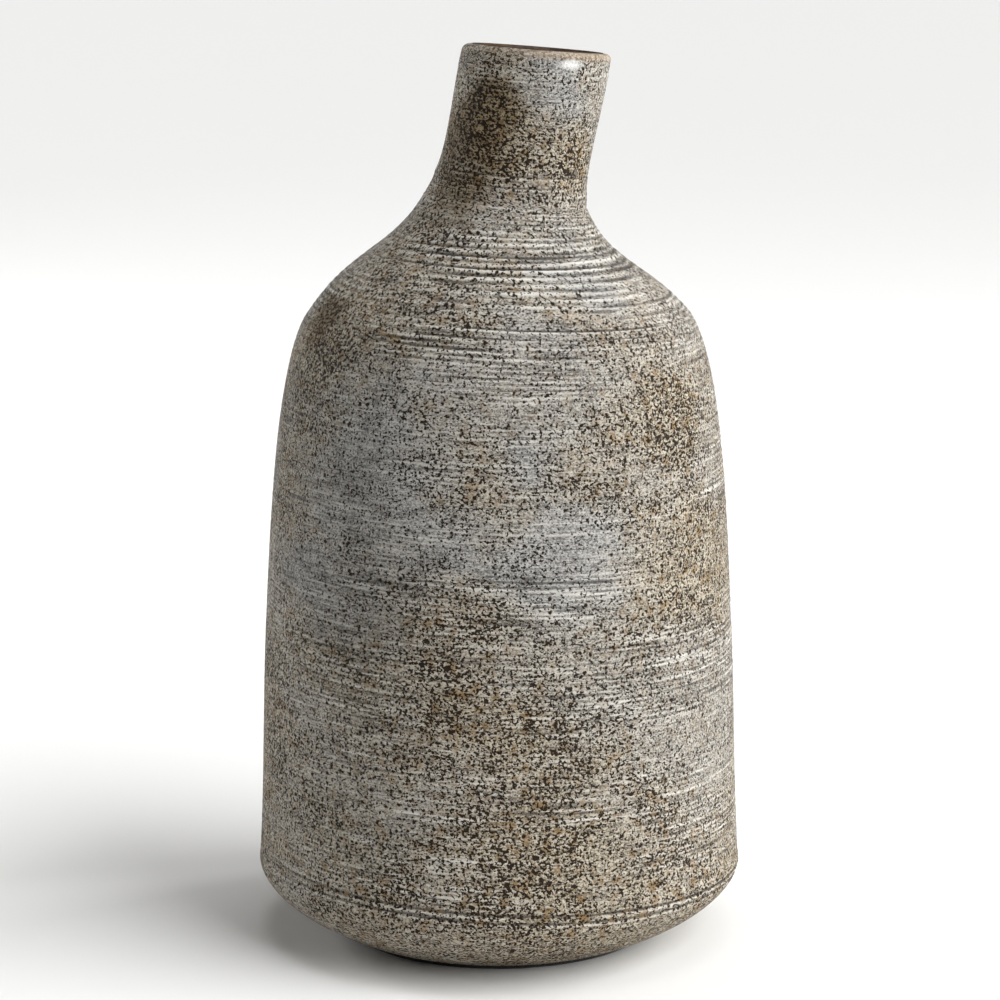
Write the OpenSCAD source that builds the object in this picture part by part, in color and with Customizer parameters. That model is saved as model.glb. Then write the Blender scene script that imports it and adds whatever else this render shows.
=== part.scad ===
// Stoneware bottle vase with a leaning neck, put together from clay sections.
// Millimetres. The origin is the centre of the underside, +Z is up and the neck leans to +X.
// A dished base, a wall, a domed shoulder, a neck tube and a lip meet in scored tongue joints
// with a layer of slip between them. A poured glaze lines the inside, and a felt pad is underneath.

/* [Body] */
// Radius of the flat underside of the clay
foot_r = 47.5; // [44:0.5:52]
// Radius at the widest point, just above the heel
belly_r = 71.5; // [67:0.5:77]
// Radius at the top of the wall, where the shoulder starts
shoulder_r = 56; // [52:0.5:60]
// Thickness of the clay floor
floor_t = 6.5; // [6:0.5:9]
// Thickness of the wall, measured level
wall_t = 6; // [5:0.25:7]

/* [Neck] */
// Radius of the neck outside, where it joins the shoulder
neck_r = 22.2; // [21.5:0.1:26]
// Radius of the bore through the neck
bore_r = 17.2; // [14:0.1:18]
// Radius of the lip outside
lip_r = 21.5; // [21:0.1:24]
// How far the neck leans over, in degrees
lean = 11; // [0:1:16]
// How far the rim slopes down towards the lean, in degrees
rim_slope = 4.5; // [0:0.5:12]

/* [Seams along the centre line] */
// Seam between the base dish and the wall
base_seam = 23; // [20:0.5:27]
// Seam between the wall and the shoulder
shoulder_seam = 184; // [160:1:190]
// Height of the shoulder dome, up to the neck seam
dome_h = 37; // [34:1:44]
// Length of the neck tube
tube_l = 29; // [20:1:40]
// Height of the lip above its seam
lip_h = 10.4; // [8:0.2:14]

/* [Joints and coats] */
// Thickness of the slip in every joint
slip_t = 0.5; // [0.3:0.1:0.8]
// Depth of the tongue that each section sets into the one below
tongue_d = 2; // [1:0.5:3]
// Thickness of the glaze that lines the inside
glaze_t = 0.45; // [0.3:0.05:0.8]
// Height that the reinforcing coil covers above and below the base seam
coil_reach = 7; // [5:0.5:9]
// Thickness of the reinforcing coil at its middle
coil_t = 3; // [2:0.5:4]
// Radius of the felt pad
pad_r = 45.5; // [40:0.5:47]
// Thickness of the felt pad
pad_t = 1.5; // [0.5:0.5:3]

/* [Hidden] */
$fn = 120;

clay = [0.62, 0.58, 0.51];
pale_clay = [0.72, 0.69, 0.62];
slip_grey = [0.50, 0.52, 0.54];
liner_brown = [0.24, 0.17, 0.11];
felt_black = [0.07, 0.07, 0.07];

// Round sections that don't share one axis are made of rings with this many corners
sides = 60;
half = slip_t / 2;
neck_seam = shoulder_seam + dome_h;
lip_seam = neck_seam + tube_l;
rim_top = lip_seam + lip_h;
lip_in = bore_r + 0.3;
lip_round = (lip_r - lip_in) / 2;
floor_z = pad_t + floor_t;
belly_in = belly_r - wall_t;
shoulder_in = shoulder_r - wall_t - 0.5;

// The centre line is upright up to the shoulder, curves across the dome, and is straight in the neck
dome_z = shoulder_seam + half;
lean_from = neck_seam - 3;
lean_x = 0.083 * dome_h;
lean_z = neck_seam - 2;
lean_dir = [sin(lean), cos(lean)];

// Each outline is a curve with two end points and two pulls between them, as [radius, height]
heel_out = [[foot_r, pad_t], [foot_r + 2.5, pad_t + 0.7], [belly_r + 2.5, 13], [belly_r, base_seam - half]];
heel_in = [[foot_r - 2, floor_z], [foot_r + 6, floor_z], [belly_in - 2, 16], [belly_in, base_seam - half]];
wall_out = [[belly_r, base_seam + half], [belly_r - 2.5, base_seam + 40],
            [shoulder_r + 13.5, shoulder_seam - 20], [shoulder_r, shoulder_seam - half]];
wall_in = [[belly_in, base_seam + half], [belly_in - 2, base_seam + 40],
           [shoulder_in + 14, shoulder_seam - 22], [shoulder_in, shoulder_seam - half]];
dome_out = [[shoulder_r, dome_z], [shoulder_r - 11.5, dome_z + 17],
            [neck_r + 2.5, neck_seam - 23.5], [neck_r, neck_seam - half]];
dome_in = [[shoulder_in, dome_z], [shoulder_in - 6.7, dome_z + 10],
           [bore_r + 5.8, neck_seam - 27], [bore_r, neck_seam - 4]];
tube_out = [[neck_r, neck_seam + half], [neck_r - 1.8, neck_seam + 6],
            [lip_r - 0.2, lip_seam - 11], [lip_r - 0.1, lip_seam - half]];
spine = [[0, dome_z], [0, dome_z + 10], [lean_x, lean_z] - 4 * lean_dir, [lean_x, lean_z]];

function pull(c, t) = pow(1 - t, 3) * c[0] + 3 * pow(1 - t, 2) * t * c[1]
                    + 3 * (1 - t) * pow(t, 2) * c[2] + pow(t, 3) * c[3];
function curve(c, n) = [for (i = [0:n]) pull(c, i / n)];
function reversed(list) = [for (i = [len(list) - 1:-1:0]) list[i]];

// A joint seen in section, from the outside in: flat, down into a groove, and flat again
function joint(r_out, r_in, h) =
    let (m = (r_out + r_in) / 2, wide = (r_out - r_in) / 4, tip = wide / 2)
    [[r_out, h], [m + wide, h], [m + tip, h - tongue_d],
     [m - tip, h - tongue_d], [m - wide, h], [r_in, h]];
function slip_outline(r_out, r_in, h) =
    concat(joint(r_out, r_in, h + half), reversed(joint(r_out, r_in, h - half)));

// Inner faces of the dish, the wall and the dome, as rings
heel_steps = 10;
dish_inside = curve(heel_in, heel_steps);
wall_inside = curve(wall_in, 8);
dome_inside = curve(dome_in, 9);

// Inner face of the coil, from its foot on the dish to its top on the wall
coil_foot = dish_inside[7];
coil_head = wall_in[0] + (pull(wall_in, 1 / 8) - wall_in[0]) * coil_reach / 14;
coil_face = [coil_foot, coil_foot + [-1, coil_t], coil_head + [-coil_t * 1.5, -coil_t], coil_head];
dish_below_coil = [for (i = [0:7]) dish_inside[i]];

// Clay surface that the glaze lies on, from the floor to where the lip starts to round over
lined_face = concat(dish_below_coil,
                    [for (i = [1:4]) pull(coil_face, i / 4)],
                    [for (i = [1:8]) wall_inside[i]],
                    [for (i = [1:9]) dome_inside[i]],
                    [[bore_r, lip_seam + half],
                     [lip_in, lip_seam + lip_h / 2],
                     [lip_in, rim_top - lip_round]]);

// The same line moved inwards by a thickness, square to its own direction
function inward(line, t) = [for (i = [0:len(line) - 1])
    let (a = line[max(i - 1, 0)], b = line[min(i + 1, len(line) - 1)], d = (b - a) / norm(b - a))
    line[i] + t * [-d[1], d[0]]];

// Place of the centre line at a distance h along it, and how far a ring there is turned.
// The lip swings from square across the neck to the slope of the rim
function along(h) = min(max((h - dome_z) / (lean_from - dome_z), 0), 1);
function ease(t) = let (u = min(max(t, 0), 1)) u * u * (3 - 2 * u);
function swing_at(h) = (rim_slope - lean) * ease((h - lip_seam - 1) / (lip_h - 2));
function turn_at(h) = lean * pow(along(h), 1.44) + swing_at(h);
function centre_at(h) = h < dome_z ? [0, h] : pull(spine, along(h)) + max(h - lean_from, 0) * lean_dir;

function ring(r, h) = let (c = centre_at(h), turn = turn_at(h))
    [for (i = [0:sides - 1]) let (a = i * 360 / sides)
        [c[0] + r * cos(a) * cos(turn), r * sin(a), c[1] - r * cos(a) * sin(turn)]];

// Corners of a many-sided ring lie on the circle, or outside it where its flats must clear it
clear = 1 / cos(180 / sides);
function widened(points, flags) = [for (i = [0:len(points) - 1])
    [points[i][0] * (flags[i] ? clear : 1), points[i][1]]];
TONGUE = [false, false, false, true, true, true];
GROOVE = [false, true, true, false, false, true];
function inner_ring(points) = [for (p = points) [p[0] * clear, p[1]]];

// Triangles between ring s and the next one
function band(s, next) = [for (i = [0:sides - 1]) let (j = (i + 1) % sides)
    each [[s * sides + i, next * sides + i, next * sides + j],
          [s * sides + i, next * sides + j, s * sides + j]]];

// A tube-like solid from a closed section, each corner of it a [radius, distance along the centre line]
module closed_loft(section) {
    n = len(section);
    polyhedron(points = [for (p = section) each ring(p[0], p[1])],
               faces = [for (s = [0:n - 1]) each band(s, (s + 1) % n)]);
}

// A cup-like skin: its section starts and ends at the floor, on the axis
module cup_loft(section, low, high) {
    n = len(section);
    rings = [for (p = section) each ring(p[0], p[1])];
    underside = [for (i = [0:sides - 1]) [n * sides, i, (i + 1) % sides]];
    last = (n - 1) * sides;
    topside = [for (i = [0:sides - 1]) [n * sides + 1, last + (i + 1) % sides, last + i]];
    polyhedron(points = concat(rings, [[0, 0, low], [0, 0, high]]),
               faces = concat(underside, [for (s = [0:n - 2]) each band(s, s + 1)], topside));
}

// Puts a shape drawn along an upright axis onto the leaning neck
module on_neck() {
    translate([lean_x, 0, lean_z]) rotate([0, lean, 0]) translate([0, 0, -lean_from]) children();
}

module base_pad() {
    color(felt_black) cylinder(r = pad_r, h = pad_t);
}

// Floor and rounded heel, with a groove round its top edge
module base_dish() {
    color(clay) rotate_extrude()
        polygon(concat([[0, pad_t]], curve(heel_out, 8),
                       joint(belly_r, belly_in, base_seam - half),
                       [for (i = [heel_steps - 1:-1:0]) dish_inside[i]],
                       [[0, floor_z]]));
}

// Coil of clay pressed over the inside of the base seam and smoothed
module base_coil() {
    color(pale_clay) rotate_extrude()
        polygon(concat([for (i = [7:heel_steps]) dish_inside[i]],
                       [wall_in[0]], reversed(curve(coil_face, 4))));
}

module body_wall() {
    color(clay) rotate_extrude()
        polygon(concat(reversed(joint(belly_r, belly_in, base_seam + half)),
                       curve(wall_out, 14),
                       joint(shoulder_r, shoulder_in, shoulder_seam - half),
                       reversed(wall_inside)));
}

// Dome that closes in from the wall and turns up into the leaning neck
module shoulder_dome() {
    section = concat(curve(dome_out, 12),
                     widened(joint(neck_r, bore_r, neck_seam - half), GROOVE),
                     inner_ring(reversed(dome_inside)),
                     reversed(widened(joint(shoulder_r, shoulder_in, shoulder_seam + half), TONGUE)));
    corners = [for (i = [0:len(section) - 1])
        if (norm(section[i] - section[(i + 1) % len(section)]) > 0.01) section[i]];
    color(clay) closed_loft(corners);
}

module neck_tube() {
    color(clay) on_neck() rotate_extrude()
        polygon(concat(reversed(joint(neck_r, bore_r, neck_seam + half)),
                       curve(tube_out, 6),
                       joint(lip_r - 0.1, bore_r, lip_seam - half)));
}

// Rolled lip, higher on the side away from the lean
module lip_ring() {
    crown = [for (a = [0:22.5:157.5]) [lip_r - lip_round + lip_round * cos(a),
                                       rim_top - lip_round + lip_round * sin(a)]];
    section = concat([[lip_r, lip_seam + lip_h * 0.35], [lip_r, lip_seam + lip_h * 0.55]], crown,
                     inner_ring([[lip_in, rim_top - lip_round], [lip_in, lip_seam + lip_h / 2]]),
                     reversed(widened(joint(lip_r - 0.1, bore_r, lip_seam + half), TONGUE)));
    color(pale_clay) closed_loft(section);
}

module base_slip() {
    color(slip_grey) rotate_extrude() polygon(slip_outline(belly_r, belly_in, base_seam));
}

module shoulder_slip() {
    color(slip_grey) rotate_extrude() polygon(slip_outline(shoulder_r, shoulder_in, shoulder_seam));
}

module neck_slip() {
    color(slip_grey) on_neck() rotate_extrude() polygon(slip_outline(neck_r, bore_r, neck_seam));
}

module lip_slip() {
    color(slip_grey) on_neck() rotate_extrude() polygon(slip_outline(lip_r - 0.1, bore_r, lip_seam));
}

// Glossy coat poured inside: it covers the floor, the coil, the wall and the bore
module liner_glaze() {
    section = concat(lined_face, reversed(inward(lined_face, glaze_t)));
    color(liner_brown) cup_loft(section, floor_z, floor_z + glaze_t);
}

base_pad();
base_dish();
base_coil();
body_wall();
shoulder_dome();
neck_tube();
lip_ring();
base_slip();
shoulder_slip();
neck_slip();
lip_slip();
liner_glaze();
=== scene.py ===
# %% [markdown]
# # A stoneware bottle vase with a leaning neck
# The real vase is wet clay first: a dished base, a wall, a domed shoulder, a neck and a lip, joined
# with slip, scraped with a toothed rib while it turns, and fired. This lesson rebuilds it piece by
# piece around the measured frame. The frame is loaded first, so that every piece has a place to go.

# %% Load the frame
import math
import bmesh
import bpy
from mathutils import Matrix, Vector


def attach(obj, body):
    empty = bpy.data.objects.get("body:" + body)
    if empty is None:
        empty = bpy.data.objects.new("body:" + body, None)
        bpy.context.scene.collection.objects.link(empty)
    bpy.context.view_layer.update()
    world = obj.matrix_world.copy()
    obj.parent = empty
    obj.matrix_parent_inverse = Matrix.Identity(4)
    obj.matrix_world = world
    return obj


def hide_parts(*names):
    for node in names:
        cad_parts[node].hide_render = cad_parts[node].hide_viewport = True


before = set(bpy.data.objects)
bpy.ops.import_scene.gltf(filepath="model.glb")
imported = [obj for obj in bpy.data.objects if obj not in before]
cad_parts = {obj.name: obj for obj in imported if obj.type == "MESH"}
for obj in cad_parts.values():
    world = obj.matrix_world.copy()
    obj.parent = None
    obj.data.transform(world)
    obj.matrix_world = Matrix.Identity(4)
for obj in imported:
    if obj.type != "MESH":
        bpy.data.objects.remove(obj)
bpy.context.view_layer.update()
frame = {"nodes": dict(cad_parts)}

MM = 0.001
print("frame nodes:", ", ".join(frame["nodes"]))

# %% [markdown]
# ## The camera
# The camera comes first, because everything is judged through it. It stands about a metre away and
# looks slightly down, with a long lens, so the sides of the vase stay nearly upright.

# %% Set up the camera
CAMERA_PLACE = (0, -0.9448, 0.3161)
CAMERA_PITCH = math.radians(78.855)
camera_data = bpy.data.cameras.new("camera")
camera_data.lens = 117.8
camera_data.sensor_width = 36
camera_data.shift_x = 0.00125
camera_data.shift_y = -0.0042
camera = bpy.data.objects.new("camera", camera_data)
camera.location = CAMERA_PLACE
camera.rotation_euler = (CAMERA_PITCH, 0, 0)
bpy.context.scene.collection.objects.link(camera)
bpy.context.scene.camera = camera
print("camera lens:", camera_data.lens)

# %% [markdown]
# ## The centre line
# A thrown pot turns about one upright line. This one was pushed over while it was soft, so its centre
# line is upright up to the shoulder, bends across the dome, and is straight again in the neck. All
# heights below are distances along that line, in millimetres, and each hoop of clay sits square to it.

# %% Centre line
BASE_SEAM, SHOULDER_SEAM, NECK_SEAM, LIP_SEAM, RIM_TOP = 23, 184, 221, 250, 260.4
LEAN, RIM_SLOPE, RIM_TIP = math.radians(11), math.radians(4.5), math.radians(2)
BEND_EASE = 1.44
DOME_START, LEAN_FROM = 184.25, 218
LEAN_X, LEAN_Z = 3.071, 219
LEAN_DIRECTION = (math.sin(LEAN), math.cos(LEAN))
SPINE = [(0, DOME_START), (0, DOME_START + 10),
         (LEAN_X - 4 * LEAN_DIRECTION[0], LEAN_Z - 4 * LEAN_DIRECTION[1]), (LEAN_X, LEAN_Z)]


def pull(curve, t):
    """Point on a curve with two end points and two pulls between them."""
    s = 1 - t
    weights = (s ** 3, 3 * s * s * t, 3 * s * t * t, t ** 3)
    return tuple(sum(w * point[axis] for w, point in zip(weights, curve)) for axis in (0, 1))


def along(h):
    """0 at the foot of the dome and 1 where the neck starts to be straight."""
    return min(max((h - DOME_START) / (LEAN_FROM - DOME_START), 0), 1)


def centre_at(h):
    """Where the centre line is at a distance h along it, as x and z."""
    if h < DOME_START:
        return 0, h
    x, z = pull(SPINE, along(h))
    beyond = max(h - LEAN_FROM, 0)
    return x + beyond * LEAN_DIRECTION[0], z + beyond * LEAN_DIRECTION[1]


def swing_at(h):
    """0 below the lip and 1 at the rim, with a soft start and a soft end."""
    share = min(max((h - LIP_SEAM - 1) / (RIM_TOP - LIP_SEAM - 2), 0), 1)
    return share * share * (3 - 2 * share)


def turn_at(h):
    """How far a hoop is turned to the right: it grows with the lean and eases off towards the rim."""
    return LEAN * along(h) ** BEND_EASE + (RIM_SLOPE - LEAN) * swing_at(h)


def tip_at(h):
    """The lip was pressed down a little at the back, so its hoops tip as they rise."""
    return RIM_TIP * swing_at(h)


print("centre of the rim, in mm:", [round(value, 2) for value in centre_at(RIM_TOP)])

# %% [markdown]
# ## Outlines
# Each section has an outer and an inner outline, as radius and height. They are the frame's own curves,
# so the pieces fill exactly the space that the frame gives them.

# %% Outlines of the sections
SKIN_GAP, FINE_GAP, INSIDE_GAP = 0.42, 0.32, 5
HEEL_OUT = [(47.5, 1.5), (50, 2.2), (74, 13), (71.5, 23)]
HEEL_IN = [(45.5, 8), (53.5, 8), (63.5, 16), (65.5, 22.75)]
WALL_OUT = [(71.5, 23), (69, 63), (69.5, 164), (56, 184)]
WALL_IN = [(65.5, 23.25), (63.5, 63), (63.5, 162), (49.5, 183.75)]
DOME_OUT = [(56, 184), (44.5, 201.25), (24.7, 197.5), (22.2, 221)]
DOME_IN = [(49.5, 184.25), (42.8, 194.25), (23, 194), (17.2, 217)]
TUBE_OUT = [(22.2, 221), (20.4, 227), (21.3, 239), (21.4, 250)]
BORE = 17.2
FINE_STEPS = 600


def even_stations(curve, gap):
    """Points along an outline, the same distance apart, as (radius, height)."""
    fine = [pull(curve, i / FINE_STEPS) for i in range(FINE_STEPS + 1)]
    travelled = [0]
    for a, b in zip(fine, fine[1:]):
        travelled.append(travelled[-1] + math.dist(a, b))
    count = max(2, round(travelled[-1] / gap))
    stations, k = [], 0
    for i in range(count + 1):
        while k < FINE_STEPS and travelled[k] < travelled[-1] * i / count - 1e-9:
            k += 1
        stations.append(fine[k])
    return stations


print("hoops up the outside of the wall:", len(even_stations(WALL_OUT, SKIN_GAP)))

# %% [markdown]
# ## Hoops of clay
# A potter builds a wall from coils. Here a skin is built the same way: circles are stacked along the
# centre line, each with its own size, place and turn, and Bridge Edge Loops joins them. A spin would be
# simpler, but a spun shape can't bend its axis, and the neck of this vase leans.

# %% Stack hoops into a skin
SIDES = 216


def to_object_mode():
    if bpy.context.object and bpy.context.object.mode != "OBJECT":
        bpy.ops.object.mode_set(mode="OBJECT")


def start_piece(name):
    """A new empty mesh object at the origin, open in edit mode."""
    to_object_mode()
    bpy.ops.object.select_all(action="DESELECT")
    bpy.ops.mesh.primitive_circle_add(vertices=8, radius=MM)
    piece = bpy.context.object
    piece.name = piece.data.name = name
    bpy.ops.object.mode_set(mode="EDIT")
    bpy.ops.mesh.select_mode(type="VERT")
    bpy.ops.mesh.delete(type="VERT")
    return piece


def add_hoop(radius, h, sides=SIDES, fill="NOTHING"):
    x, z = centre_at(h)
    bpy.ops.mesh.primitive_circle_add(vertices=sides, radius=radius * MM, fill_type=fill,
                                      location=(x * MM, 0, z * MM), rotation=(0, turn_at(h), 0))


def stack_skin(name, stations):
    """An open skin whose hoops all rise, bridged in one go."""
    skin = start_piece(name)
    for radius, h in stations:
        add_hoop(radius, h)
    bpy.ops.mesh.select_all(action="SELECT")
    bpy.ops.mesh.bridge_edge_loops()
    bpy.ops.object.mode_set(mode="OBJECT")
    return skin


def step_skin(name, stations, sides=SIDES, first_fill="NOTHING"):
    """An open skin whose hoops may rise, fall or lie flat: each hoop is extruded from the one before."""
    skin = start_piece(name)
    bpy.ops.mesh.select_mode(type="EDGE")
    add_hoop(*stations[0], sides, first_fill)
    if first_fill == "TRIFAN":
        bpy.ops.mesh.region_to_loop()
    for (r0, h0), (r1, h1) in zip(stations, stations[1:]):
        (x0, z0), (x1, z1) = centre_at(h0), centre_at(h1)
        middle = (x0 * MM, 0, z0 * MM)
        bpy.ops.mesh.extrude_edges_move()
        bpy.ops.transform.resize(value=(r1 / r0, r1 / r0, r1 / r0), center_override=middle)
        bpy.ops.transform.rotate(value=turn_at(h0) - turn_at(h1), orient_axis="Y", center_override=middle)
        if tip_at(h1) != tip_at(h0):
            bpy.ops.transform.rotate(value=tip_at(h1) - tip_at(h0), orient_axis="X", center_override=middle)
        bpy.ops.transform.translate(value=((x1 - x0) * MM, 0, (z1 - z0) * MM))
    bpy.ops.object.mode_set(mode="OBJECT")
    return skin


def counted(piece):
    triangles = sum(len(face.vertices) - 2 for face in piece.data.polygons)
    box = [[round(min(v.co[a] for v in piece.data.vertices), 4) for a in range(3)],
           [round(max(v.co[a] for v in piece.data.vertices), 4) for a in range(3)]]
    return f"{piece.name}: {triangles} triangles, box {box}"


# %% [markdown]
# ## Course: the way the rib travelled
# The scraping marks don't follow level lines. They slope down to the right by a few degrees on the body,
# and less than the neck's own turn higher up. Each corner of a skin keeps its place along that course as
# an attribute, which the relief and the colours both follow afterwards.

# %% Write the course on a skin
BODY_SLANT, NECK_SLANT = 0.044, -0.12


def slant_at(h):
    """The rib's slope at a height: down to the right on the body, the other way on the neck."""
    share = min(max((h - 186) / 36, 0), 1)
    return BODY_SLANT * (1 - share) + NECK_SLANT * share


def write_course(skin):
    """Stores the distance along the centre line, tilted by the rib's slant, on every corner."""
    values = []
    for corner in skin.data.vertices:
        x, z = corner.co.x / MM, corner.co.z / MM
        h = z
        for _ in range(6):
            centre_x, centre_z = centre_at(h)
            turn = turn_at(h)
            miss = (z - centre_z) * math.cos(turn) + (x - centre_x) * math.sin(turn)
            h += miss
        values.append((h + slant_at(h) * x) * MM)
    course = skin.data.attributes.new("course", "FLOAT", "POINT")
    course.data.foreach_set("value", values)


# %% [markdown]
# ## Combing
# A toothed rib held against the turning pot leaves bunches of furrows with soft ridges between them.
# A Geometry Nodes modifier moves the skin in and out along its normals by stretched noise, so that the
# furrows are real shape and catch the light. It writes its depth to an attribute for the colours.

# %% Helpers for node trees
def put(tree, kind, inputs=None, **settings):
    """Adds a node, sets its options, and fills its inputs with values or with other nodes' outputs."""
    made = tree.nodes.new(kind)
    for option, value in settings.items():
        setattr(made, option, value)
    for key, value in (inputs or {}).items():
        if isinstance(value, bpy.types.NodeSocket):
            tree.links.new(value, made.inputs[key])
        else:
            made.inputs[key].default_value = value
    return made


def reckon(tree, operation, a, b=0.0, clamp=False):
    return put(tree, "ShaderNodeMath", {0: a, 1: b}, operation=operation, use_clamp=clamp).outputs[0]


def plus(tree, a, b):
    return reckon(tree, "ADD", a, b)


def minus(tree, a, b, clamp=False):
    return reckon(tree, "SUBTRACT", a, b, clamp)


def times(tree, a, b):
    return reckon(tree, "MULTIPLY", a, b)


def fade(tree, value, low, high, to_low=0.0, to_high=1.0):
    """Turns a value that rises from low to high into one that goes smoothly from to_low to to_high."""
    sockets = {"Value": value, "From Min": low, "From Max": high, "To Min": to_low, "To Max": to_high}
    return put(tree, "ShaderNodeMapRange", sockets, interpolation_type="SMOOTHSTEP").outputs[0]


def stretch(tree, vector, factors):
    return put(tree, "ShaderNodeVectorMath", {0: vector, 1: factors}, operation="MULTIPLY").outputs[0]


def noise(tree, vector, scale=1.0, detail=0.0, roughness=0.5):
    sockets = {"Vector": vector, "Scale": scale, "Detail": detail, "Roughness": roughness}
    return put(tree, "ShaderNodeTexNoise", sockets).outputs[0]


def swath(tree, position, course):
    """A vector that unrolls the surface: across in X and Y, and along the course in Z."""
    x, y, _ = put(tree, "ShaderNodeSeparateXYZ", {0: position}).outputs
    return put(tree, "ShaderNodeCombineXYZ", {0: x, 1: y, 2: course}).outputs[0]


# %% Combing modifier
TOOTH = 1.4
COMB_DEPTH = 0.28
SWELL = 0.9
COURSE_END = 270
COMB_STRENGTH = [(0, 0.10), (18, 0.15), (23, 0.8), (28, 0.6), (60, 0.6), (120, 0.6), (160, 0.6),
                 (180, 0.7), (189, 0.75), (203, 0.7), (208, 0.55), (214, 0.8), (223, 0.8),
                 (229, 0.25), (242, 0.25), (248, 0.4), (254, 0.3), (COURSE_END, 0.1)]
SCORED_LINES = [(22.3, 0.28, 0.5), (24.3, 0.34, 0.6), (184.8, 0.2, 0.35), (187.2, 0.28, 0.42),
                (189.6, 0.2, 0.35), (192.2, 0.26, 0.42), (199.4, 0.22, 0.35), (201.6, 0.24, 0.4),
                (212.5, 0.2, 0.35), (214.2, 0.34, 0.45), (216.4, 0.3, 0.42), (221.4, 0.24, 0.4),
                (224.4, 0.14, 0.3), (231.5, 0.14, 0.3), (249.0, 0.12, 0.35), (252.5, 0.1, 0.35)]


def comb_strength(tree, course):
    """How hard the rib was pressed at each height."""
    curve = put(tree, "ShaderNodeFloatCurve", {"Value": times(tree, course, 1 / (COURSE_END * MM))})
    points = curve.mapping.curves[0].points
    for h, strength in COMB_STRENGTH:
        if h in (0, COURSE_END):
            points[0 if h == 0 else -1].location = (h / COURSE_END, strength)
        else:
            points.new(h / COURSE_END, strength)
    curve.mapping.update()
    return curve.outputs[0]


def tooth_marks(tree, unrolled, course):
    """Furrows and ridges in bunches: one steady wave for the teeth, and noise drawn out sideways."""
    bunches = noise(tree, stretch(tree, unrolled, (14, 14, 60)), detail=1.0)
    bunches = fade(tree, bunches, 0.36, 0.62, 0.25, 1.0)
    wander = noise(tree, stretch(tree, unrolled, (9, 9, 40)), detail=1.0)
    phase = plus(tree, times(tree, course, 2 * math.pi / (TOOTH * MM)), times(tree, wander, 16.0))
    wave = reckon(tree, "SINE", phase)
    wide = noise(tree, stretch(tree, unrolled, (20, 20, 950)), detail=1.0)
    teeth = noise(tree, stretch(tree, unrolled, (34, 34, 1150)), detail=1.0)
    furrows = fade(tree, wide, 0.28, 0.40, -0.9, 0.0)
    crests = fade(tree, wide, 0.58, 0.72, 0.0, 0.7)
    ticks = plus(tree, fade(tree, teeth, 0.30, 0.50, -0.6, 0.0), fade(tree, teeth, 0.50, 0.70, 0.0, 0.5))
    marks = plus(tree, plus(tree, furrows, crests), plus(tree, ticks, times(tree, wave, 0.6)))
    return times(tree, marks, bunches)


def add_scored_lines(tree, unrolled, course, relief):
    """Single lines cut deeper than the rest, broken here and there, each with a ridge just below it."""
    breaks = fade(tree, noise(tree, stretch(tree, unrolled, (18, 18, 160))), 0.42, 0.56)
    breaks = reckon(tree, "MAXIMUM", breaks, fade(tree, course, 26 * MM, 30 * MM, 0.85, 0.0))
    for h, depth, width in SCORED_LINES:
        for middle, rise, reach in ((h, -depth, width), (h - 1.4 * width, 0.5 * depth, 0.8 * width)):
            away = reckon(tree, "ABSOLUTE", minus(tree, course, middle * MM))
            line = fade(tree, away, 0.0, reach * MM, rise * MM, 0.0)
            relief = plus(tree, relief, times(tree, line, breaks))
    return relief


def combing_group():
    tree = bpy.data.node_groups.new("combing", "GeometryNodeTree")
    tree.interface.new_socket("Geometry", in_out="INPUT", socket_type="NodeSocketGeometry")
    tree.interface.new_socket("Geometry", in_out="OUTPUT", socket_type="NodeSocketGeometry")
    start, end = tree.nodes.new("NodeGroupInput"), tree.nodes.new("NodeGroupOutput")
    position = put(tree, "GeometryNodeInputPosition").outputs[0]
    course = put(tree, "GeometryNodeInputNamedAttribute", {"Name": "course"}, data_type="FLOAT").outputs[0]
    unrolled = swath(tree, position, course)
    scraped = times(tree, tooth_marks(tree, unrolled, course), comb_strength(tree, course))
    relief = add_scored_lines(tree, unrolled, course, times(tree, scraped, COMB_DEPTH * MM))

    # The heel, the lip's edge and the side that faces -X are rubbed smoother than the rest.
    smoothed = times(tree, fade(tree, course, 253.5 * MM, 257 * MM, 1.0, 0.0),
                     fade(tree, course, 2 * MM, 14 * MM))
    normal = put(tree, "GeometryNodeInputNormal").outputs[0]
    facing_x = put(tree, "ShaderNodeSeparateXYZ", {0: normal}).outputs[0]
    worn = fade(tree, facing_x, -0.97, -0.55, 0.3, 1.0)
    relief = times(tree, times(tree, relief, smoothed), worn)

    swell = minus(tree, noise(tree, position, 16.0, 1.0), 0.5)
    offset = plus(tree, relief, times(tree, times(tree, swell, smoothed), SWELL * MM))
    shift = put(tree, "ShaderNodeVectorMath", {0: normal, "Scale": offset}, operation="SCALE").outputs[0]
    moved = put(tree, "GeometryNodeSetPosition", {"Geometry": start.outputs[0], "Offset": shift})
    depth = reckon(tree, "DIVIDE", relief, MM)
    stored = put(tree, "GeometryNodeStoreNamedAttribute",
                 {"Geometry": moved.outputs[0], "Name": "comb", "Value": depth},
                 data_type="FLOAT", domain="POINT")
    tree.links.new(stored.outputs[0], end.inputs[0])
    return tree


COMBING = combing_group()


def face_out(skin):
    """Points the faces of an open skin away from the centre line."""
    to_object_mode()
    bpy.ops.object.select_all(action="DESELECT")
    skin.select_set(True)
    bpy.context.view_layer.objects.active = skin
    widest = max(skin.data.polygons, key=lambda face: math.hypot(face.center.x, face.center.y))
    h = widest.center.z / MM
    outward = (widest.normal.x * (widest.center.x - centre_at(h)[0] * MM)
               + widest.normal.y * widest.center.y)
    if outward < 0:
        bpy.ops.object.mode_set(mode="EDIT")
        bpy.ops.mesh.select_all(action="SELECT")
        bpy.ops.mesh.flip_normals()
        bpy.ops.object.mode_set(mode="OBJECT")


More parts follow.
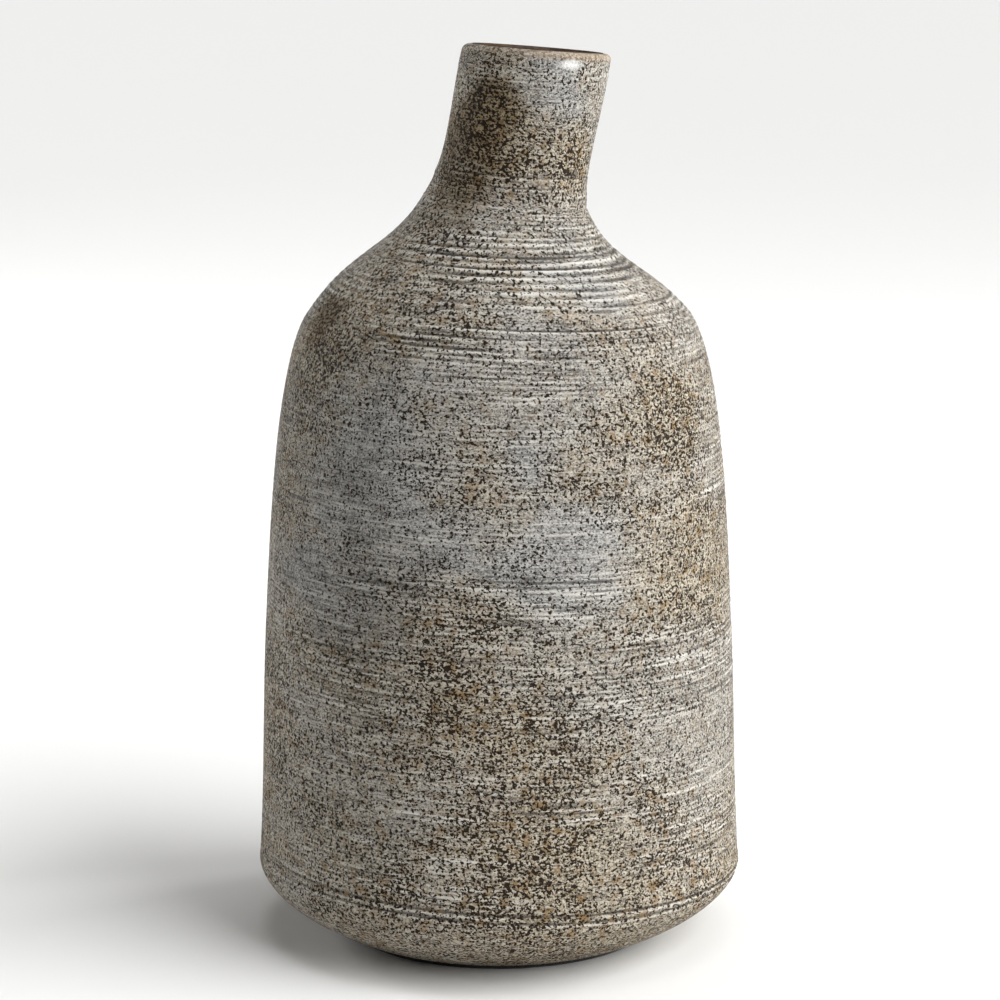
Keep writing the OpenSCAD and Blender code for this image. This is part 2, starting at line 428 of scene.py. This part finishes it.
def comb(skin):
    face_out(skin)
    write_course(skin)
    modifier = skin.modifiers.new("combing", "NODES")
    modifier.node_group = COMBING
    bpy.ops.object.modifier_apply(modifier=modifier.name)


# %% [markdown]
# ## From skins to solid sections
# A real section is a solid ring of clay, so each outer skin gets an inner skin and a joint at each open
# end. Bridge with cuts makes the flat joint face, and the middle three loops are pushed down to cut a
# groove, or to leave a tongue that fits the groove of the section below.

# %% Close a section at a joint
TONGUE_DEPTH = 2
JOINT_CUTS = 7
SLIP_HALF = 0.25
FACE_ANGLE = math.radians(50)


def select_rims(piece, h):
    """Selects the open rims near a seam, and nothing else."""
    centre_x, centre_z = centre_at(h)
    turn = turn_at(h)
    mesh = bmesh.from_edit_mesh(piece.data)
    for face in mesh.faces:
        face.select = False
    for edge in mesh.edges:
        edge.select = False
    for corner in mesh.verts:
        corner.select = False
    for edge in mesh.edges:
        if edge.is_boundary:
            middle = (edge.verts[0].co + edge.verts[1].co) / 2
            off = (middle.z / MM - centre_z) * math.cos(turn) + (middle.x / MM - centre_x) * math.sin(turn)
            if abs(off) < 2:
                edge.select = True
    bmesh.update_edit_mesh(piece.data)


def close_joint(piece, h, half_gap):
    """Joins the two rims at a seam and pushes the middle loops down by a tongue's depth."""
    bpy.ops.mesh.select_mode(type="EDGE")
    select_rims(piece, h)
    mesh = bmesh.from_edit_mesh(piece.data)
    before = len(mesh.verts)
    bpy.ops.mesh.bridge_edge_loops(number_cuts=JOINT_CUTS, interpolation="LINEAR")
    mesh = bmesh.from_edit_mesh(piece.data)
    mesh.verts.ensure_lookup_table()
    centre_x, centre_z = centre_at(h)
    turn = turn_at(h)
    new = mesh.verts[before:]
    radii = [math.hypot((v.co.x / MM - centre_x) / math.cos(turn), v.co.y / MM) for v in new]
    inner, outer = min(radii), max(radii)
    middle, reach = (inner + outer) / 2, (outer - inner) / 6
    for corner, radius in zip(new, radii):
        drop = TONGUE_DEPTH if abs(radius - middle) < reach * 1.35 else 0
        x, z = corner.co.x / MM, corner.co.z / MM
        off = (z - centre_z) * math.cos(turn) + (x - centre_x) * math.sin(turn)
        rise = half_gap - off - drop
        corner.co.x += rise * math.sin(turn) * MM
        corner.co.z += rise * math.cos(turn) * MM
    bmesh.update_edit_mesh(piece.data)


def join_skins(name, *skins):
    to_object_mode()
    bpy.ops.object.select_all(action="DESELECT")
    for skin in skins:
        skin.select_set(True)
    bpy.context.view_layer.objects.active = skins[0]
    bpy.ops.object.join()
    piece = bpy.context.object
    piece.name = piece.data.name = name
    return piece


def finish_section(piece, joints):
    """Closes the joints, points the faces out, and shades the round faces smooth."""
    bpy.ops.object.mode_set(mode="EDIT")
    for h, half_gap in joints:
        close_joint(piece, h, half_gap)
    bpy.ops.mesh.select_all(action="SELECT")
    bpy.ops.mesh.normals_make_consistent(inside=False)
    bpy.ops.object.mode_set(mode="OBJECT")
    bpy.ops.object.shade_smooth_by_angle(angle=FACE_ANGLE)
    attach(piece, "root")
    print(counted(piece))


# %% [markdown]
# ## The wall
# The wall is the largest section and carries most of the combing. Its hoops are under half a millimetre
# apart, which is fine enough for one furrow to have two sides and a floor.

# %% Wall
wall_skin = stack_skin("wall_skin", even_stations(WALL_OUT, SKIN_GAP))
comb(wall_skin)
wall_inside = stack_skin("wall_inside", even_stations(WALL_IN, INSIDE_GAP))
wall = join_skins("wall", wall_skin, wall_inside)
finish_section(wall, [(BASE_SEAM, SLIP_HALF), (SHOULDER_SEAM, -SLIP_HALF)])
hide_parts("body_wall")

# %% [markdown]
# ## The shoulder
# The dome closes in from the wall and turns up into the neck. The deepest furrows of the whole vase run
# round it, because the rib was pressed hard where the form changes direction.

# %% Shoulder dome
dome_skin = stack_skin("dome_skin", even_stations(DOME_OUT, FINE_GAP))
comb(dome_skin)
dome_inside = stack_skin("dome_inside", even_stations(DOME_IN, 3) + [(BORE, NECK_SEAM - SLIP_HALF)])
dome = join_skins("dome", dome_skin, dome_inside)
finish_section(dome, [(SHOULDER_SEAM, SLIP_HALF), (NECK_SEAM, -SLIP_HALF)])
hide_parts("shoulder_dome")

# %% [markdown]
# ## The neck
# A short tube, slightly waisted, standing square to the leaning centre line.

# %% Neck tube
tube_skin = stack_skin("tube_skin", even_stations(TUBE_OUT, FINE_GAP))
comb(tube_skin)
tube_inside = stack_skin("tube_inside", [(BORE, NECK_SEAM + SLIP_HALF + 28.5 * i / 8) for i in range(9)])
tube = join_skins("tube", tube_skin, tube_inside)
finish_section(tube, [(NECK_SEAM, SLIP_HALF), (LIP_SEAM, -SLIP_HALF)])
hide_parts("neck_tube")

# %% [markdown]
# ## The lip
# The lip is rolled over with a damp finger, so its edge is round and smoother than the rest. Its hoops
# rise up the outside, go over the crown and come down inside, so they are bridged one step at a time.

# %% Lip
LIP_RADIUS, LIP_ROUND, LIP_BORE = 21.5, 2.0, 17.5
LIP_BORE_FROM, LIP_BORE_TO = 255.2, 256.8
lip_side = [(21.4 + 0.1 * min(i / 8, 1), LIP_SEAM + 8.4 * i / 19) for i in range(19)]


def on_crown(degrees):
    """A point on the round edge of the lip: 0 faces outwards, 90 is the top, 180 faces the bore."""
    turn = math.radians(degrees)
    return (LIP_RADIUS - LIP_ROUND + LIP_ROUND * math.cos(turn),
            RIM_TOP - LIP_ROUND + LIP_ROUND * math.sin(turn))


lip_crown = [on_crown(degrees) for degrees in range(0, 181, 12)]
lip_bore = [(LIP_BORE, LIP_BORE_TO), (LIP_BORE, LIP_BORE_FROM), (BORE, LIP_SEAM + SLIP_HALF)]
lip_skin = step_skin("lip_skin", lip_side + lip_crown + lip_bore)
comb(lip_skin)
lip = join_skins("lip", lip_skin)
finish_section(lip, [(LIP_SEAM, SLIP_HALF)])
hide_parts("lip_ring")

# %% [markdown]
# ## The dish
# The base dish has a flat foot and a rounded heel that curves up into the wall. Its floor is closed by a
# fan of faces at the centre, above and below.

# %% Base dish
heel_skin = step_skin("heel_skin", [(r, 1.5) for r in (12, 30, 44)] + even_stations(HEEL_OUT, 0.5),
                      first_fill="TRIFAN")
comb(heel_skin)
heel_inside = step_skin("heel_inside", [(r, 8) for r in (12, 30)] + even_stations(HEEL_IN, 3),
                        first_fill="TRIFAN")
dish = join_skins("dish", heel_skin, heel_inside)
finish_section(dish, [(BASE_SEAM, -SLIP_HALF)])
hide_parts("base_dish")

# %% [markdown]
# ## Slip in the joints
# Slip is clay thinned with water, and it glues each section to the next. In the finished pot it is a thin
# layer that follows the tongue and groove, so it is a folded sheet of hoops, thickened by Solidify.

# %% Slip rings
WALL_SHARES = [(0.10, 0), (0.25, 0), (0.375, -TONGUE_DEPTH), (0.625, -TONGUE_DEPTH), (0.75, 0), (0.95, 0)]


def thicken(piece, thickness, offset):
    solidify = piece.modifiers.new("thickness", "SOLIDIFY")
    solidify.thickness = thickness * MM
    solidify.offset = offset
    bpy.ops.object.modifier_apply(modifier=solidify.name)


def slip_ring(name, node, r_out, r_in, h):
    ring = step_skin(name, [(r_out + (r_in - r_out) * share, h + rise) for share, rise in WALL_SHARES], 120)
    thicken(ring, 0.34, 0)
    bpy.ops.object.shade_smooth_by_angle(angle=math.radians(30))
    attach(ring, "root")
    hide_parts(node)
    print(counted(ring))
    return ring


slips = [slip_ring("slip_at_base", "base_slip", 71.5, 65.5, BASE_SEAM),
         slip_ring("slip_at_shoulder", "shoulder_slip", 56, 49.5, SHOULDER_SEAM),
         slip_ring("slip_at_neck", "neck_slip", 22.2, BORE, NECK_SEAM),
         slip_ring("slip_at_lip", "lip_slip", 21.4, BORE, LIP_SEAM)]

# %% [markdown]
# ## The liner
# Stoneware is not quite watertight, so glaze is poured in, swirled and poured out. It covers the floor,
# the coil over the base seam, the wall, the dome, the bore and the inner half of the lip's round edge,
# where it also stands in for the shade inside the back of the rim.

# %% Liner
COIL_FOOT = pull(HEEL_IN, 0.7)
COIL_HEAD = (65.15, 31)
COIL_FACE = [COIL_FOOT, (COIL_FOOT[0] - 1, COIL_FOOT[1] + 3),
             (COIL_HEAD[0] - 4.5, COIL_HEAD[1] - 3), COIL_HEAD]
# The liner's last hoops run over the inner half of the lip's round edge: partly glaze that laps over the
# lip, partly a dark sheet standing in for the shade inside the back of the rim.
liner_line = ([(12, 8), (30, 8)] + [pull(HEEL_IN, 0.7 * i / 6) for i in range(6)]
              + [pull(COIL_FACE, i / 8) for i in range(9)]
              + [point for point in even_stations(WALL_IN, 4) if point[1] > COIL_HEAD[1] + 1]
              + even_stations(DOME_IN, 2) + [(BORE, h) for h in range(220, 251, 3)]
              + [(17.3, 252), (LIP_BORE, LIP_BORE_FROM), (LIP_BORE, LIP_BORE_TO)]
              + [on_crown(degrees) for degrees in range(180, 107, -12)])
liner = step_skin("liner", liner_line, 160, first_fill="TRIFAN")
face_out(liner)
thicken(liner, 0.3, -1)
bpy.ops.object.shade_smooth_by_angle(angle=math.radians(50))
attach(liner, "root")
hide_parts("liner_glaze")
print(counted(liner))

# %% [markdown]
# ## The felt pad
# A disc of felt under the foot keeps the grit of the clay off the table. It is cut with shears, so its
# edge is soft, and it shows only as a dark line under the heel.

# %% Felt pad
pad_line = [(12, 0), (30, 0), (45.6, 0), (46.1, 0.1), (46.25, 0.4), (46.3, 0.75), (46.25, 1.1),
            (46.0, 1.4), (45.4, 1.5)]
pad = step_skin("felt_pad", pad_line, 180, first_fill="TRIFAN")
bpy.ops.object.mode_set(mode="EDIT")
bpy.ops.mesh.select_mode(type="EDGE")
bpy.ops.mesh.select_all(action="DESELECT")
bpy.ops.mesh.select_non_manifold(extend=False, use_wire=False, use_boundary=True, use_multi_face=False,
                                 use_non_contiguous=False, use_verts=False)
bpy.ops.mesh.edge_face_add()
bpy.ops.mesh.select_mode(type="FACE")
bpy.ops.mesh.poke()
bpy.ops.mesh.select_all(action="SELECT")
bpy.ops.mesh.normals_make_consistent(inside=False)
bpy.ops.object.mode_set(mode="OBJECT")
bpy.ops.object.shade_smooth_by_angle(angle=math.radians(60))
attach(pad, "root")
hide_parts("base_pad")
print(counted(pad))

# %% [markdown]
# ## Shared effects
# Specks, grain, strokes of the rib and soft patches turn up in more than one finish. Each is a small node
# group that puts out only a mask, so every material can place it with its own values.

# %% Node groups for the finishes
def open_group(name, vectors, floats, result):
    """An empty group with the named inputs and one float output."""
    tree = bpy.data.node_groups.new(name, "ShaderNodeTree")
    for labels, kind in ((vectors, "NodeSocketVector"), (floats, "NodeSocketFloat")):
        for label in labels:
            tree.interface.new_socket(label, in_out="INPUT", socket_type=kind)
    tree.interface.new_socket(result, in_out="OUTPUT", socket_type="NodeSocketFloat")
    return tree, tree.nodes.new("NodeGroupInput").outputs, tree.nodes.new("NodeGroupOutput").inputs


def from_group(tree, group, inputs):
    """Places a group in a tree, fills its inputs, and gives its one output."""
    made = tree.nodes.new("ShaderNodeGroup")
    made.node_tree = group
    for key, value in inputs.items():
        if isinstance(value, bpy.types.NodeSocket):
            tree.links.new(value, made.inputs[key])
        else:
            made.inputs[key].default_value = value
    return made.outputs[0]


def speck_group():
    """Dark or pale dots, a share of the cells of a grid, with ragged edges."""
    tree, takes, gives = open_group("specks", ["Vector"], ["Scale", "Share", "Size"], "Mask")
    wobble = put(tree, "ShaderNodeTexNoise", {"Vector": takes["Vector"], "Scale": 1700.0, "Detail": 1.0})
    nudge = put(tree, "ShaderNodeVectorMath", {0: wobble.outputs["Color"], "Scale": 0.0006},
                operation="SCALE")
    moved = put(tree, "ShaderNodeVectorMath", {0: takes["Vector"], 1: nudge.outputs[0]}, operation="ADD")
    cells = put(tree, "ShaderNodeTexVoronoi", {"Vector": moved.outputs[0], "Scale": takes["Scale"]})
    luck = put(tree, "ShaderNodeSeparateColor", {0: cells.outputs["Color"]})
    chosen = reckon(tree, "LESS_THAN", luck.outputs[0], takes["Share"])
    size = times(tree, takes["Size"], plus(tree, luck.outputs[1], 0.5))
    spot = fade(tree, cells.outputs["Distance"], times(tree, size, 0.6), size, 1.0, 0.0)
    tree.links.new(times(tree, spot, chosen), gives["Mask"])
    return tree


def stroke_group():
    """Thin lines that follow the rib."""
    tree, takes, gives = open_group("rib_strokes", ["Swath"], ["Across", "Along"], "Value")
    factors = put(tree, "ShaderNodeCombineXYZ", {0: takes["Across"], 1: takes["Across"], 2: takes["Along"]})
    lines = noise(tree, stretch(tree, takes["Swath"], factors.outputs[0]), 1.0, 2.0, 0.6)
    tree.links.new(lines, gives["Value"])
    return tree


def patch_group():
    """A round place with a ragged, soft edge."""
    tree, takes, gives = open_group("soft_patch", ["Vector", "Centre"], ["Reach"], "Mask")
    gap = put(tree, "ShaderNodeVectorMath", {0: takes["Vector"], 1: takes["Centre"]}, operation="DISTANCE")
    ragged = minus(tree, noise(tree, takes["Vector"], 60.0, 3.0, 0.6), 0.5)
    edge = plus(tree, reckon(tree, "DIVIDE", gap.outputs["Value"], takes["Reach"]),
                  times(tree, ragged, 1.6))
    tree.links.new(fade(tree, edge, 0.4, 1.1, 1.0, 0.0), gives["Mask"])
    return tree


SPECKS, STROKES, PATCH = speck_group(), stroke_group(), patch_group()
print("shared effects:", SPECKS.name, STROKES.name, PATCH.name)

# %% [markdown]
# ## Fired stoneware
# The clay is iron-bearing. Where the kiln was hot the iron came up as dark specks in a warm brown ground,
# and where the rib left a tight skin it stayed blue-grey. The furrows are painted dark as shade and the
# ridges pale as highlights. The material reads the course and comb attributes, so its streaks run exactly
# along the furrows.

# %% Stoneware
COOL_PLACES = [((13, -20, 251), 14), ((-38, -58, 142), 42), ((-45, -52, 115), 30), ((14, -60, 172), 30),
               ((28, -38, 204), 22), ((20, -66, 120), 24), ((-60, 20, 150), 45), ((30, 60, 90), 45),
               ((60, 30, 60), 35)]
# Places on the left of the neck and shoulder, away from the key light, darkened as painted shade; they also
# get more specks.
SHADE_AND_SPECK_PLACES = [((-9, -18, 238), 17), ((-15, -20, 226), 15), ((-2, -20, 246), 12), ((-53, -24, 187), 11)]
SPECKED_PLACES = [((-4, -70, 152), 26), ((-12, -70, 112), 34), ((0, -72, 72), 36), ((-14, -70, 38), 30),
                  ((-50, -40, 180), 22), ((53, -43, 160), 17), ((0, -24, 232), 26), ((40, 50, 120), 40),
                  ((-50, 45, 70), 40), ((62, 20, 70), 34), ((-66, -20, 80), 26)]
# Two places on the front left of the body where the colour is made a fifth darker.
DARKER_LEFT_PLACES = [((-60, -34, 145), 44), ((-44, -56, 112), 34)]
WARM_PLACES = [((0, -21, 240), 15), ((22, -14, 229), 12), ((-48, -30, 188), 20), ((54, -42, 160), 20),
               ((-4, -72, 66), 34), ((60, -38, 120), 24), ((0, -68, 10), 60), ((0, 68, 10), 60),
               ((-68, 0, 10), 50), ((68, 0, 10), 50), ((0, 62, 170), 35), ((-40, 50, 60), 40)]
# Painted shade and painted highlights for the combing: each row is low, high, mask at low, mask at high,
# share and colour; dark rows shade the furrows, pale rows light the ridges.
COMB_SHADE_AND_HIGHLIGHTS = [(-0.17, -0.02, 1.0, 0.0, 0.7, (0.055, 0.052, 0.050, 1)),
               (0.01, 0.08, 0.0, 1.0, 0.5, (0.690, 0.665, 0.610, 1)),
               (0.09, 0.17, 0.0, 1.0, 0.5, (0.800, 0.785, 0.740, 1)),
               (-0.30, -0.16, 1.0, 0.0, 0.6, (0.030, 0.028, 0.026, 1))]
# How far the painted highlight on the lip is squashed upright.
GLINT_SQUASH = 2.2


def tint(tree, factor, a, b, mode="MIX"):
    """Lays colour b over colour a where the factor is high."""
    made = put(tree, "ShaderNodeMix", {0: factor, 6: a, 7: b}, data_type="RGBA", blend_type=mode)
    return made.outputs[2]


def new_finish(name):
    finish = bpy.data.materials.new(name)
    finish.use_nodes = True
    return finish, finish.node_tree, finish.node_tree.nodes["Principled BSDF"]


def gathered(tree, here, places):
    """One mask for a list of patches, each a centre and a reach in millimetres."""
    mask = None
    for centre, reach in places:
        spot = from_group(tree, PATCH, {"Vector": here, "Centre": [c * MM for c in centre],
                                        "Reach": reach * MM})
        mask = spot if mask is None else reckon(tree, "MAXIMUM", mask, spot)
    return mask


def paint_comb_shade_and_highlights(tree, comb_depth, colour):
    """Painted shade in the furrows and painted highlights on the ridges, more so where they are deep or
    high.
    """
    for low, high, at_low, at_high, share, paint in COMB_SHADE_AND_HIGHLIGHTS:
        mask = fade(tree, comb_depth, low, high, at_low, at_high)
        colour = tint(tree, times(tree, mask, share), colour, paint)
    return colour


def iron_spots(tree, here, swath_here, density):
    """Big and small specks, and pits where the iron burnt out."""
    pitting = noise(tree, stretch(tree, swath_here, (1080, 1080, 1350)), 1.0, 1.0, 0.6)
    pits = fade(tree, minus(tree, pitting, times(tree, density, 0.12)), 0.29, 0.37, 1.0, 0.0)
    big = from_group(tree, SPECKS, {"Vector": here, "Scale": 700.0, "Size": 0.36,
                                    "Share": times(tree, density, 0.30)})
    small = from_group(tree, SPECKS, {"Vector": here, "Scale": 1300.0, "Size": 0.42,
                                      "Share": times(tree, density, 0.40)})
    return reckon(tree, "MAXIMUM", reckon(tree, "MAXIMUM", big, small), pits)


def rim_tint(tree, here, clouds, colour):
    """The lip's edge burns to a pale tan, most on the side that the neck leans to."""
    x, _, z = put(tree, "ShaderNodeSeparateXYZ", {0: here}).outputs
    rim_height = plus(tree, z, times(tree, x, 0.08))
    edge = fade(tree, plus(tree, rim_height, times(tree, clouds, 0.003)), 0.2605, 0.2625)
    edge = times(tree, edge, fade(tree, x, -0.002, 0.018, 0.15, 0.5))
    return tint(tree, edge, colour, (0.480, 0.370, 0.260, 1))


def stoneware_finish():
    finish, tree, shader = new_finish("stoneware")
    here = put(tree, "ShaderNodeTexCoord").outputs["Object"]
    course = put(tree, "ShaderNodeAttribute", attribute_name="course").outputs["Fac"]
    comb_depth = put(tree, "ShaderNodeAttribute", attribute_name="comb").outputs["Fac"]
    swath_here = swath(tree, here, course)

    drift = noise(tree, stretch(tree, swath_here, (16, 16, 20)), 1.0, 3.0, 0.6)
    cool = gathered(tree, here, COOL_PLACES)
    warm = gathered(tree, here, WARM_PLACES)
    painted_shade_and_specks = gathered(tree, here, SHADE_AND_SPECK_PLACES)
    specked = gathered(tree, here, SPECKED_PLACES)
    darker_left = gathered(tree, here, DARKER_LEFT_PLACES)
    warmth = plus(tree, fade(tree, drift, 0.38, 0.62, 0.35, 0.8), times(tree, warm, 0.35))
    warmth = minus(tree, warmth, times(tree, cool, 0.5), clamp=True)

    ground = tint(tree, warmth, (0.135, 0.134, 0.131, 1), (0.155, 0.124, 0.082, 1))
    pale = tint(tree, warmth, (0.490, 0.476, 0.446, 1), (0.560, 0.500, 0.400, 1))
    grain = noise(tree, stretch(tree, swath_here, (1500, 1500, 2000)), 1.0, 2.0, 0.7)
    clouds = noise(tree, here, 260.0, 3.0, 0.6)
    grains = fade(tree, plus(tree, grain, times(tree, clouds, 0.3)), 0.50, 0.80)
    colour = tint(tree, grains, ground, pale)

    fine = from_group(tree, STROKES, {"Swath": swath_here, "Across": 80.0, "Along": 1500.0})
    # Painted shade along the low lines of the fine rib strokes and painted highlights along the high ones;
    # the same strokes are real relief in the bump below.
    fine_groove_shade = fade(tree, fine, 0.30, 0.44, 1.0, 0.0)
    fine_ridge_highlight = fade(tree, fine, 0.57, 0.68)
    colour = tint(tree, times(tree, fine_groove_shade, 0.65), colour, (0.075, 0.070, 0.066, 1))
    colour = tint(tree, times(tree, fine_ridge_highlight, 0.55), colour, pale)
    colour = paint_comb_shade_and_highlights(tree, comb_depth, colour)

    crowd = noise(tree, stretch(tree, swath_here, (45, 45, 80)), 1.0, 3.0)
    crowd = fade(tree, crowd, 0.35, 0.65, 0.3, 1.2)
    density = plus(tree, times(tree, crowd, 0.45), times(tree, warmth, 0.6))
    density = plus(tree, density, times(tree, plus(tree, painted_shade_and_specks, specked), 0.2))
    iron = iron_spots(tree, here, swath_here, density)
    rust = fade(tree, noise(tree, here, 330.0, 2.0), 0.50, 0.72)
    rust = times(tree, times(tree, rust, warmth), 0.8)
    colour = tint(tree, rust, colour, (0.235, 0.145, 0.055, 1))
    colour = tint(tree, times(tree, iron, 0.98), colour, (0.016, 0.009, 0.004, 1))

    # Painted shade: darkens and browns the left of the neck and a spot on the left shoulder; the extra
    # specks added there at the density step are the clay's own.
    colour = tint(tree, painted_shade_and_specks, colour, (0.60, 0.53, 0.42, 1), "MULTIPLY")
    # Makes the colour a fifth darker on the front left of the body.
    colour = tint(tree, darker_left, colour, (0.80, 0.80, 0.80, 1), "MULTIPLY")
    colour = rim_tint(tree, here, clouds, colour)
    # A near-white painted highlight on the front right of the lip, where the key light glints; the same
    # mask lowers the roughness there, which is a real glossy spot.
    drop = from_group(tree, PATCH, {"Vector": stretch(tree, here, (1, 1, GLINT_SQUASH)), "Reach": 0.0044,
                                    "Centre": (0.0205, -0.0196, 0.2573 * GLINT_SQUASH)})
    colour = tint(tree, times(tree, drop, 0.95), colour, (0.86, 0.85, 0.83, 1))
    tree.links.new(colour, shader.inputs["Base Color"])

    height = plus(tree, times(tree, grains, 0.5), times(tree, fine, 1.2))
    height = minus(tree, height, times(tree, iron, 0.7))
    bump = put(tree, "ShaderNodeBump", {"Strength": 1.0, "Distance": 0.0002, "Height": height})
    tree.links.new(bump.outputs[0], shader.inputs["Normal"])
    rough = fade(tree, grain, 0.2, 0.8, 0.72, 0.95)
    tree.links.new(minus(tree, rough, times(tree, drop, 0.5)), shader.inputs["Roughness"])
    shader.inputs["Specular IOR Level"].default_value = 0.15
    return finish


def dress(piece, finish):
    piece.data.materials.clear()
    piece.data.materials.append(finish)


STONEWARE = stoneware_finish()
for section in (dish, wall, dome, tube, lip):
    dress(section, STONEWARE)

# %% [markdown]
# ## Slip, raw clay, liner and felt
# These show less, but each is a finish of its own: slip is smooth and grey, the coil inside is plain pale
# clay with finger marks, the liner is a dark runny gloss, and the felt is a mat of short fibres.

# %% Slip and raw clay
def plain_clay_finish(name, dark, pale, scale, bump_depth):
    finish, tree, shader = new_finish(name)
    here = put(tree, "ShaderNodeTexCoord").outputs["Object"]
    cloud = fade(tree, noise(tree, here, scale, 4.0, 0.65), 0.3, 0.7)
    colour = tint(tree, cloud, dark, pale)
    iron = from_group(tree, SPECKS, {"Vector": here, "Scale": 700.0, "Share": 0.2, "Size": 0.3})
    colour = tint(tree, iron, colour, (0.06, 0.04, 0.02, 1))
    tree.links.new(colour, shader.inputs["Base Color"])
    bump = put(tree, "ShaderNodeBump", {"Strength": 0.8, "Distance": bump_depth, "Height": cloud})
    tree.links.new(bump.outputs[0], shader.inputs["Normal"])
    tree.links.new(fade(tree, cloud, 0.0, 1.0, 0.75, 0.92), shader.inputs["Roughness"])
    return finish


SLIP = plain_clay_finish("slip", (0.16, 0.155, 0.15, 1), (0.26, 0.25, 0.24, 1), 400.0, 0.0001)
RAW_CLAY = plain_clay_finish("raw_clay", (0.30, 0.26, 0.20, 1), (0.45, 0.40, 0.32, 1), 180.0, 0.0004)
for ring in slips:
    dress(ring, SLIP)
dress(frame["nodes"]["base_coil"], RAW_CLAY)


# %% Liner glaze
def liner_finish():
    finish, tree, shader = new_finish("liner")
    here = put(tree, "ShaderNodeTexCoord").outputs["Object"]
    runs = noise(tree, stretch(tree, here, (220, 220, 25)), 1.0, 3.0, 0.6)
    clouds = noise(tree, here, 90.0, 3.0, 0.6)
    colour = tint(tree, fade(tree, runs, 0.35, 0.65), (0.030, 0.016, 0.008, 1), (0.085, 0.048, 0.022, 1))
    colour = tint(tree, fade(tree, clouds, 0.5, 0.75, 0.0, 0.5), colour, (0.16, 0.12, 0.08, 1))
    pinholes = from_group(tree, SPECKS, {"Vector": here, "Scale": 500.0, "Share": 0.15, "Size": 0.2})
    colour = tint(tree, pinholes, colour, (0.01, 0.007, 0.004, 1))
    tree.links.new(colour, shader.inputs["Base Color"])
    bump = put(tree, "ShaderNodeBump", {"Strength": 0.6, "Distance": 0.0003, "Height": runs})
    tree.links.new(bump.outputs[0], shader.inputs["Normal"])
    tree.links.new(fade(tree, clouds, 0.3, 0.7, 0.3, 0.5), shader.inputs["Roughness"])
    shader.inputs["Specular IOR Level"].default_value = 0.25
    return finish


dress(liner, liner_finish())


# %% Felt
def felt_finish():
    finish, tree, shader = new_finish("felt")
    here = put(tree, "ShaderNodeTexCoord").outputs["Object"]
    fibres = noise(tree, stretch(tree, here, (2600, 900, 2600)), 1.0, 3.0, 0.7)
    crossing = noise(tree, stretch(tree, here, (900, 2600, 2600)), 1.0, 3.0, 0.7)
    mat = reckon(tree, "MAXIMUM", fibres, crossing)
    colour = tint(tree, fade(tree, mat, 0.45, 0.75), (0.010, 0.010, 0.011, 1), (0.045, 0.044, 0.043, 1))
    tree.links.new(colour, shader.inputs["Base Color"])
    bump = put(tree, "ShaderNodeBump", {"Strength": 1.0, "Distance": 0.0003, "Height": mat})
    tree.links.new(bump.outputs[0], shader.inputs["Normal"])
    tree.links.new(fade(tree, mat, 0.3, 0.8, 0.9, 1.0), shader.inputs["Roughness"])
    shader.inputs["Sheen Weight"].default_value = 0.2
    return finish


dress(pad, felt_finish())

# %% [markdown]
# ## Floor and light
# A wide pale floor and a soft key light from the right, with a weak strip on the left so the dark side
# keeps its edge. The world is bright to the eye and dim as a light, which keeps the shading deep.

# %% Floor, lights and world
bpy.context.scene.view_settings.view_transform = "Standard"
to_object_mode()
bpy.ops.object.select_all(action="DESELECT")
bpy.ops.mesh.primitive_plane_add(size=40)
floor = bpy.context.object
floor.name = "floor"
floor_paint = bpy.data.materials.new("floor_paint")
floor_paint.use_nodes = True
floor_paint.node_tree.nodes["Principled BSDF"].inputs["Base Color"].default_value = (0.9, 0.9, 0.89, 1)
floor_paint.node_tree.nodes["Principled BSDF"].inputs["Roughness"].default_value = 0.9
floor.data.materials.append(floor_paint)


def soft_light(name, place, aim, size, power):
    """A rectangle of light at a place, turned to face what it lights."""
    lamp = bpy.data.lights.new(name, "AREA")
    lamp.shape = "RECTANGLE"
    lamp.size, lamp.size_y = size
    lamp.energy = power
    made = bpy.data.objects.new(name, lamp)
    made.location = place
    made.rotation_euler = (Vector(aim) - Vector(place)).to_track_quat("-Z", "Y").to_euler()
    bpy.context.scene.collection.objects.link(made)


soft_light("edge_left", (-1.3, 0.9, 0.4), (0, 0, 0.13), (0.3, 0.9), 13)
soft_light("edge_right", (1.3, 0.7, 0.4), (0, 0, 0.13), (0.3, 0.9), 10)


def sky_light(name, direction, strength, spread):
    """A broad even light from one direction, which lights the whole floor alike."""
    lamp = bpy.data.lights.new(name, "SUN")
    lamp.energy = strength
    lamp.angle = math.radians(spread)
    made = bpy.data.objects.new(name, lamp)
    made.rotation_euler = Vector(direction).to_track_quat("Z", "Y").to_euler()
    bpy.context.scene.collection.objects.link(made)


sky_light("key", (1.0, -0.5, 0.75), 4.1, 60)
sky_light("overhead", (0.1, 0.1, 1.0), 0.8, 40)
world = bpy.data.worlds.new("studio")
world.use_nodes = True
sky = world.node_tree
seen = put(sky, "ShaderNodeLightPath").outputs["Is Camera Ray"]
sky.nodes["Background"].inputs["Color"].default_value = (1, 1, 1, 1)
sky.links.new(fade(sky, seen, 0.0, 1.0, 0.03, 0.95), sky.nodes["Background"].inputs["Strength"])
bpy.context.scene.world = world
